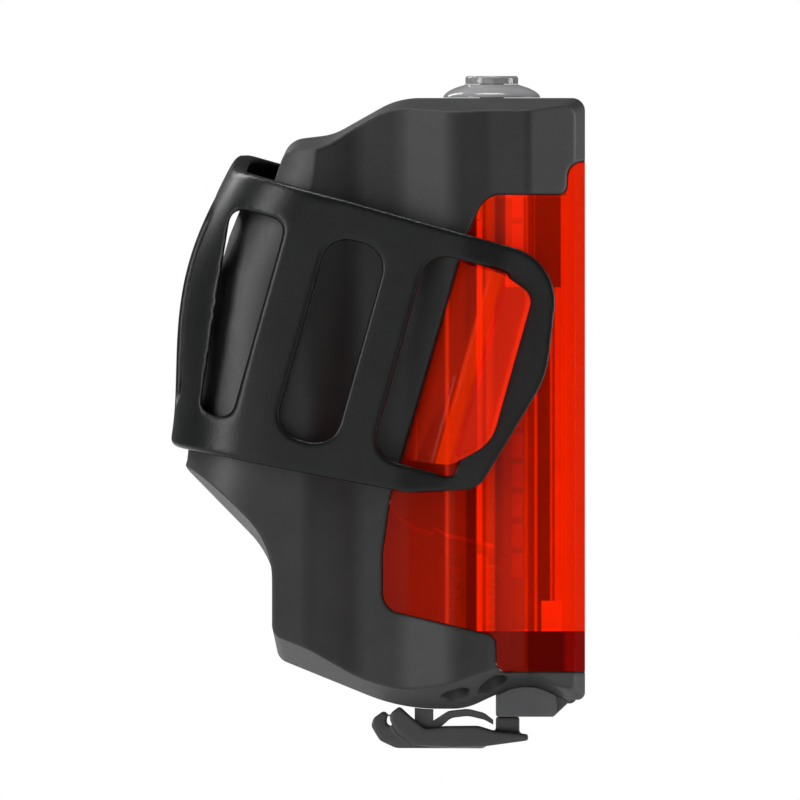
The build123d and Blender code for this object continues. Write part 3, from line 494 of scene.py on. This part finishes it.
def soft_copy(name, node, voxel, rounds, body):
    """A rounded rubber piece in place of a CAD node, riding on the same body."""
    made = bpy.data.objects.new(name, nodes[node].data.copy())
    bpy.context.scene.collection.objects.link(made)
    select_only(made)
    made.data.remesh_voxel_size = voxel
    made.data.remesh_voxel_adaptivity = 0.0
    bpy.ops.object.voxel_remesh()
    smoothed(made, rounds)
    bpy.ops.object.shade_smooth()
    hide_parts(node)
    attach(made, body)
    print(name, "in place of", node, "with", len(made.data.vertices), "points")
    return made


def wrapped(made, finish):
    """Give a piece one finish."""
    made.data.materials.clear()
    made.data.materials.append(finish)


def ease(value, start, end):
    """0 before start, 1 after end, smooth between."""
    share = min(max((value - start) / (end - start), 0.0), 1.0)
    return share * share * (3.0 - 2.0 * share)


def leaning_place(point):
    """A point's place to the rear and up in the frame that leans with the post."""
    x, _, z = point.co
    return (x * math.cos(TILT) - z * math.sin(TILT), x * math.sin(TILT) + z * math.cos(TILT))


# %% [markdown]
# ### The strap
# A ladder of black rubber that bows round the post and hooks over both sides. A flat band could be
# bent round a curve, but the slots would stretch with it, so the skin of the solid is used. Its
# nose is the softest part and is smoothed further, through the weights of a vertex group. The far
# rim of the nose sits a little higher, because the strap is hooked slightly askew, so that rim is
# lifted along the post. The lift grows across and upwards and fades towards the rear.

# %% The strap
NOSE_END, NOSE_FADE, NOSE_ROUNDS = 8.0 * MM, 13.0 * MM, 26
RIM_LIFT = 2.2 * MM
ACROSS_START, ACROSS_END = 2.0 * MM, 12.0 * MM
BACK_START, BACK_END = 4.0 * MM, 16.0 * MM
UP_START, UP_END = 12.0 * MM, 19.0 * MM
rubber = surface("strap_rubber", (0.0012, 0.0015, 0.0014), (0.0024, 0.0030, 0.0028),
                 rough=0.36, grain=3400.0, relief=0.05 * MM, shine=0.20)
strap = soft_copy("strap_band", "strap", voxel=0.30 * MM, rounds=10, body="light")
nose = strap.vertex_groups.new(name="nose")
for point in strap.data.vertices:
    back, up = leaning_place(point)
    nose.add([point.index], 1.0 - ease(back, NOSE_END, NOSE_FADE), "REPLACE")
smoothed(strap, NOSE_ROUNDS, nose.name)
for point in strap.data.vertices:
    back, up = leaning_place(point)
    lift = ease(point.co.y, ACROSS_START, ACROSS_END) * (1.0 - ease(back, BACK_START, BACK_END))
    lift *= ease(up, UP_START, UP_END) * RIM_LIFT
    point.co += Vector((lift * math.sin(TILT), 0.0, lift * math.cos(TILT)))
wrapped(strap, rubber)

# %% [markdown]
# ### The cradle pad
# A rubber pad in the groove that takes the post. Low ribs across it grip the post. A Displace
# modifier could press them in, but it would need a texture and a vertex group. A wave in code needs
# neither: it is pressed into the skin of the V and fades out towards its wings.

# %% The cradle pad
RIB_PITCH, RIB_DEPTH = 2.2 * MM, 0.28 * MM
RIB_START, RIB_END = 3.5 * MM, 6.0 * MM
V_SLOPE, V_FRONT = math.radians(60.0), 4.75 * MM
grip = surface("pad_rubber", (0.016, 0.016, 0.016), (0.026, 0.026, 0.026),
               rough=0.6, grain=2800.0, relief=0.06 * MM)
pad = soft_copy("cradle_cushion", "cradle_pad", voxel=0.25 * MM, rounds=2, body="light")
for point in pad.data.vertices:
    back, up = leaning_place(point)
    if back + abs(point.co.y) / math.tan(V_SLOPE) < V_FRONT:
        sink = (0.5 + 0.5 * math.cos(2.0 * math.pi * up / RIB_PITCH)) * RIB_DEPTH
        sink *= 1.0 - ease(abs(point.co.y), RIB_START, RIB_END)
        point.co += Vector((sink * math.cos(TILT), 0.0, -sink * math.sin(TILT)))
wrapped(pad, grip)

# %% [markdown]
# ### The door's pull
# A soft flap with two ears and a scooped tongue, rounded all over. A subdivision surface would
# need a clean cage round the ears, and the voxel skin needs none. The flap hangs on the door and
# swings with it, so it rides on the door.

# %% The door's pull
flap_rubber = surface("pull_rubber", (0.009, 0.009, 0.0095), (0.015, 0.015, 0.016),
                      rough=0.5, grain=3800.0, relief=0.05 * MM)
flap = soft_copy("pull_flap", "door_pull", voxel=0.16 * MM, rounds=18, body="door")
wrapped(flap, flap_rubber)

# %% [markdown]
# ### The button boot
# The real boot is a thin moulded bell of grey rubber. A ring at its foot is extruded from point to
# point of the wall's outline and widened or narrowed at each, as one turns a bell by hand. Spin
# would turn the same outline in one step, but its first and last rows have to be merged after. The
# last ring is bridged back to the first, which closes the wall. Each row of the outline is a radius
# and a height in millimetres. The real bell folds when the button goes down; this one keeps its
# shape at rest.

# %% The button boot
BELL = [
    (6.06, 27.80), (5.98, 28.08), (5.76, 28.34), (5.34, 28.64), (4.66, 28.98), (4.02, 29.20),
    (3.46, 29.37), (3.30, 29.45), (2.60, 29.45), (2.60, 29.26), (3.20, 29.06), (4.30, 28.66),
    (5.00, 28.34), (5.36, 28.08), (5.44, 27.80),
]
BUTTON_X = 35.6 * MM
BELL_STEPS = 96
SMOOTH_ANGLE = math.radians(40.0)

bpy.ops.object.select_all(action="DESELECT")
bpy.ops.mesh.primitive_circle_add(vertices=BELL_STEPS, radius=BELL[0][0] * MM,
                                  location=(BUTTON_X, 0.0, BELL[0][1] * MM))
boot = bpy.context.object
boot.name = "button_bell"
bpy.ops.object.mode_set(mode="EDIT")
bpy.ops.mesh.select_all(action="SELECT")
for (wide, height), (next_wide, next_height) in zip(BELL, BELL[1:]):
    rise = (0.0, 0.0, (next_height - height) * MM)
    bpy.ops.mesh.extrude_edges_move(TRANSFORM_OT_translate={"value": rise})
    share = next_wide / wide
    bpy.ops.transform.resize(value=(share, share, 1.0),
                             center_override=(BUTTON_X, 0.0, next_height * MM))
bpy.ops.mesh.select_all(action="SELECT")
bpy.ops.mesh.region_to_loop()
bpy.ops.mesh.bridge_edge_loops()
bpy.ops.mesh.select_all(action="SELECT")
bpy.ops.mesh.normals_make_consistent(inside=False)
bpy.ops.object.mode_set(mode="OBJECT")
bpy.ops.object.transform_apply(location=True, rotation=True, scale=True)
bpy.ops.object.shade_smooth_by_angle(angle=SMOOTH_ANGLE)
bell = clear("boot_rubber", (0.45, 0.45, 0.45), (0.20, 0.20, 0.205),
             solid=0.85, rough=0.14, ior=1.4)
wrapped(boot, bell)
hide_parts("button_boot")
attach(boot, "light")
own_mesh(boot)
print("button_bell", len(boot.data.polygons), "faces")

# %% [markdown]
# ### The seam's seal
# A thin rubber lip follows the seam between housing and lens on the inside and closes its
# clearance. A Bezier curve with a bevel could make it, but its ends and corners are harder to place
# to a tenth of a millimetre. So the path is the seam's corners, each cut back by its radius and
# bent through with a quadratic curve. Each row is x, z and radius in millimetres.

# %% The seam as a path
SEAM = [
    (44.89, 15.76, 0.0), (34.73, 15.76, 3.3), (32.51, 10.82, 2.8), (22.87, -22.11, 4.7),
    (21.88, -29.16, 9.4), (21.88, -36.21, 2.6), (36.0, -39.56, 1.3), (36.1, -44.02, 1.4),
    (44.5, -44.02, 0.0),
]
CURVE_STEPS = 6


def rounded_path(corners):
    """The points of a path of (x, z, radius) corners, in metres, with its corners rounded."""
    spots = [Vector((x, z)) * MM for x, z, _ in corners]
    path = [spots[0]]
    for number in range(1, len(spots) - 1):
        here = spots[number]
        back = (spots[number - 1] - here).normalized()
        ahead = (spots[number + 1] - here).normalized()
        opening = back.angle(ahead)
        reach = corners[number][2] * MM / math.tan(opening / 2.0)
        start, end = here + back * reach, here + ahead * reach
        for step in range(CURVE_STEPS + 1):
            share = step / CURVE_STEPS
            rest = 1 - share
            path.append(start * rest ** 2 + here * 2 * share * rest + end * share ** 2)
    path.append(spots[-1])
    return path


# %% [markdown]
# A single point is extruded along the path, the line is extruded across into a ribbon, and a wall
# and a mirrored twin finish it. The lips at the rear lie further in, where the lens is narrower,
# and one more closes the clearance over the door.


# %% The lips
def seam_lip(name, corners, thick, inner, outer):
    """A lip along a path of corners, from inner to outer across, on both sides."""
    path = rounded_path(corners)
    bpy.ops.object.select_all(action="DESELECT")
    bpy.ops.mesh.primitive_plane_add(size=thick, location=(path[0].x, inner, path[0].y))
    made = bpy.context.object
    made.name = name
    bpy.ops.object.mode_set(mode="EDIT")
    bpy.ops.mesh.select_all(action="SELECT")
    bpy.ops.mesh.merge(type="CENTER")
    for here, there in zip(path, path[1:]):
        bpy.ops.mesh.extrude_vertices_move(
            TRANSFORM_OT_translate={"value": (there.x - here.x, 0.0, there.y - here.y)})
    bpy.ops.mesh.select_all(action="SELECT")
    bpy.ops.mesh.extrude_edges_move(TRANSFORM_OT_translate={"value": (0.0, outer - inner, 0.0)})
    bpy.ops.object.mode_set(mode="OBJECT")
    bpy.ops.object.transform_apply(location=True, rotation=True, scale=True)
    wall = made.modifiers.new("wall", "SOLIDIFY")
    wall.thickness = thick
    wall.offset = 0.0
    wall.use_even_offset = True
    bpy.ops.object.modifier_apply(modifier=wall.name)
    twin = made.modifiers.new("twin", "MIRROR")
    twin.use_axis = (False, True, False)
    twin.use_mirror_merge = False
    bpy.ops.object.modifier_apply(modifier=twin.name)
    bpy.ops.object.mode_set(mode="EDIT")
    bpy.ops.mesh.select_all(action="SELECT")
    bpy.ops.mesh.normals_make_consistent(inside=False)
    bpy.ops.object.mode_set(mode="OBJECT")
    wrapped(made, grip)
    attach(made, "light")
    print(name, len(made.data.polygons), "faces")


REAR_TOP = [
    (47.22, 19.84, 0.0), (46.30, 19.68, 0.5), (45.52, 19.18, 0.3), (45.22, 18.66, 0.3),
    (45.02, 18.00, 0.5), (44.88, 15.82, 0.9), (43.00, 15.82, 0.0),
]
REAR_LOW = [(43.5, -44.02, 0.0), (47.2, -44.02, 0.0)]
DOOR_TOP = [
    (36.14, -46.90, 0.0), (37.20, -46.34, 2.0), (38.48, -45.86, 2.0), (40.00, -45.74, 2.0),
    (41.06, -45.84, 2.0), (42.20, -46.24, 2.0), (43.45, -46.75, 2.0), (44.90, -47.42, 0.3),
    (45.90, -47.46, 0.0),
]
seam_lip("seam_seal", SEAM, thick=0.4 * MM, inner=9.7 * MM, outer=10.9 * MM)
seam_lip("seam_seal_top", REAR_TOP, thick=0.34 * MM, inner=6.4 * MM, outer=7.6 * MM)
seam_lip("seam_seal_low", REAR_LOW, thick=0.28 * MM, inner=6.4 * MM, outer=7.6 * MM)
seam_lip("door_seal", DOOR_TOP, thick=0.2 * MM, inner=5.2 * MM, outer=6.2 * MM)

# %% [markdown]
# ## Studio
# Matt black and clear red need opposite light. A large softbox over the left shoulder draws the
# waves of the shell, a second one from the right shows the lens, a narrow one straight above draws
# the line between roof and wall, and two weak ones open the strap's windows and its far rim. Sun
# lamps would be simpler, but they draw no soft reflections. All five aim at the light's middle.
# Each row is a name, a place, a width and a height in metres, and a power in watts.

# %% Softboxes
middle = Vector((0.022, 0.0, -0.012))
SOFTBOXES = [
    ("key", (-0.40, -0.30, 0.16), 0.20, 0.45, 3.2),
    ("fill", (0.46, 0.02, -0.02), 0.20, 0.40, 2.6),
    ("top", (0.02, -0.03, 0.46), 0.30, 0.10, 2.4),
    ("rim", (-0.30, 0.30, 0.34), 0.12, 0.30, 1.8),
    ("front", (-0.10, -0.55, -0.16), 0.40, 0.40, 1.7),
]
for name, place, wide, tall, power in SOFTBOXES:
    data = bpy.data.lights.new(name, "AREA")
    data.shape = "RECTANGLE"
    data.size, data.size_y = wide, tall
    data.energy = power
    softbox = bpy.data.objects.new(name, data)
    softbox.location = place
    softbox.rotation_euler = (middle - Vector(place)).to_track_quat("-Z", "Y").to_euler()
    bpy.context.scene.collection.objects.link(softbox)
print("softboxes:", len(SOFTBOXES))

# %% [markdown]
# The floor is plain pale paper. It lies below the light, so that the door has room to swing open.

# %% Floor
DOOR_ROOM = 21.0 * MM
PAPER_SIDE = 1.6
bpy.ops.object.select_all(action="DESELECT")
bpy.ops.mesh.primitive_plane_add(size=PAPER_SIDE, location=(0, 0, low[2] - DOOR_ROOM))
floor = bpy.context.object
floor.name = "studio_floor"
wrapped(floor, surface("floor_paper", (0.80, 0.80, 0.80), (0.84, 0.84, 0.84),
                       rough=0.7, grain=900.0, relief=0.02 * MM, wear=8.0))
print("floor at", floor.location.z)

# %% [markdown]
# The camera sees a white backdrop. All other rays meet a dim one, so that black stays black. A
# lamp on a white wall would do the same for the camera, but its light would also fall on the shell.

# %% World
DIM, WHITE = 0.17, 1.0


def backdrop(tree, strength):
    """A white background of some strength."""
    made = tree.nodes.new("ShaderNodeBackground")
    made.inputs["Color"].default_value = (1.0, 1.0, 1.0, 1.0)
    made.inputs["Strength"].default_value = strength
    return made.outputs["Background"]


world = bpy.data.worlds.new("studio")
bpy.context.scene.world = world
world.use_nodes = True
tree = world.node_tree
pick = tree.nodes.new("ShaderNodeMixShader")
rays = tree.nodes.new("ShaderNodeLightPath")
tree.links.new(rays.outputs["Is Camera Ray"], pick.inputs["Fac"])
tree.links.new(backdrop(tree, DIM), pick.inputs[1])
tree.links.new(backdrop(tree, WHITE), pick.inputs[2])
tree.links.new(pick.outputs["Shader"], tree.nodes["World Output"].inputs["Surface"])
print("world:", world.name)

# %% [markdown]
# ## Camera
# The photograph is a pure side view, so the camera looks straight along Y. A long lens far away
# would look almost the same, but an orthographic camera has no perspective at all. Its frame is
# 100 mm wide, and the middle of the frame lies behind the front edge and below the strap's middle.

# %% Camera
FRAME_WIDE = 100.0 * MM
FRAME_BACK, FRAME_BELOW = 24.125 * MM, 10.0 * MM
DISTANCE = 0.6
lens_data = bpy.data.cameras.new("side")
lens_data.type = "ORTHO"
lens_data.ortho_scale = FRAME_WIDE
camera = bpy.data.objects.new("side", lens_data)
camera.location = (FRAME_BACK, -DISTANCE, -FRAME_BELOW)
camera.rotation_euler = (math.pi / 2.0, 0.0, 0.0)
bpy.context.scene.collection.objects.link(camera)
bpy.context.scene.camera = camera
bpy.context.scene.view_settings.view_transform = "Standard"
print("camera at", tuple(camera.location), "frame", FRAME_WIDE)
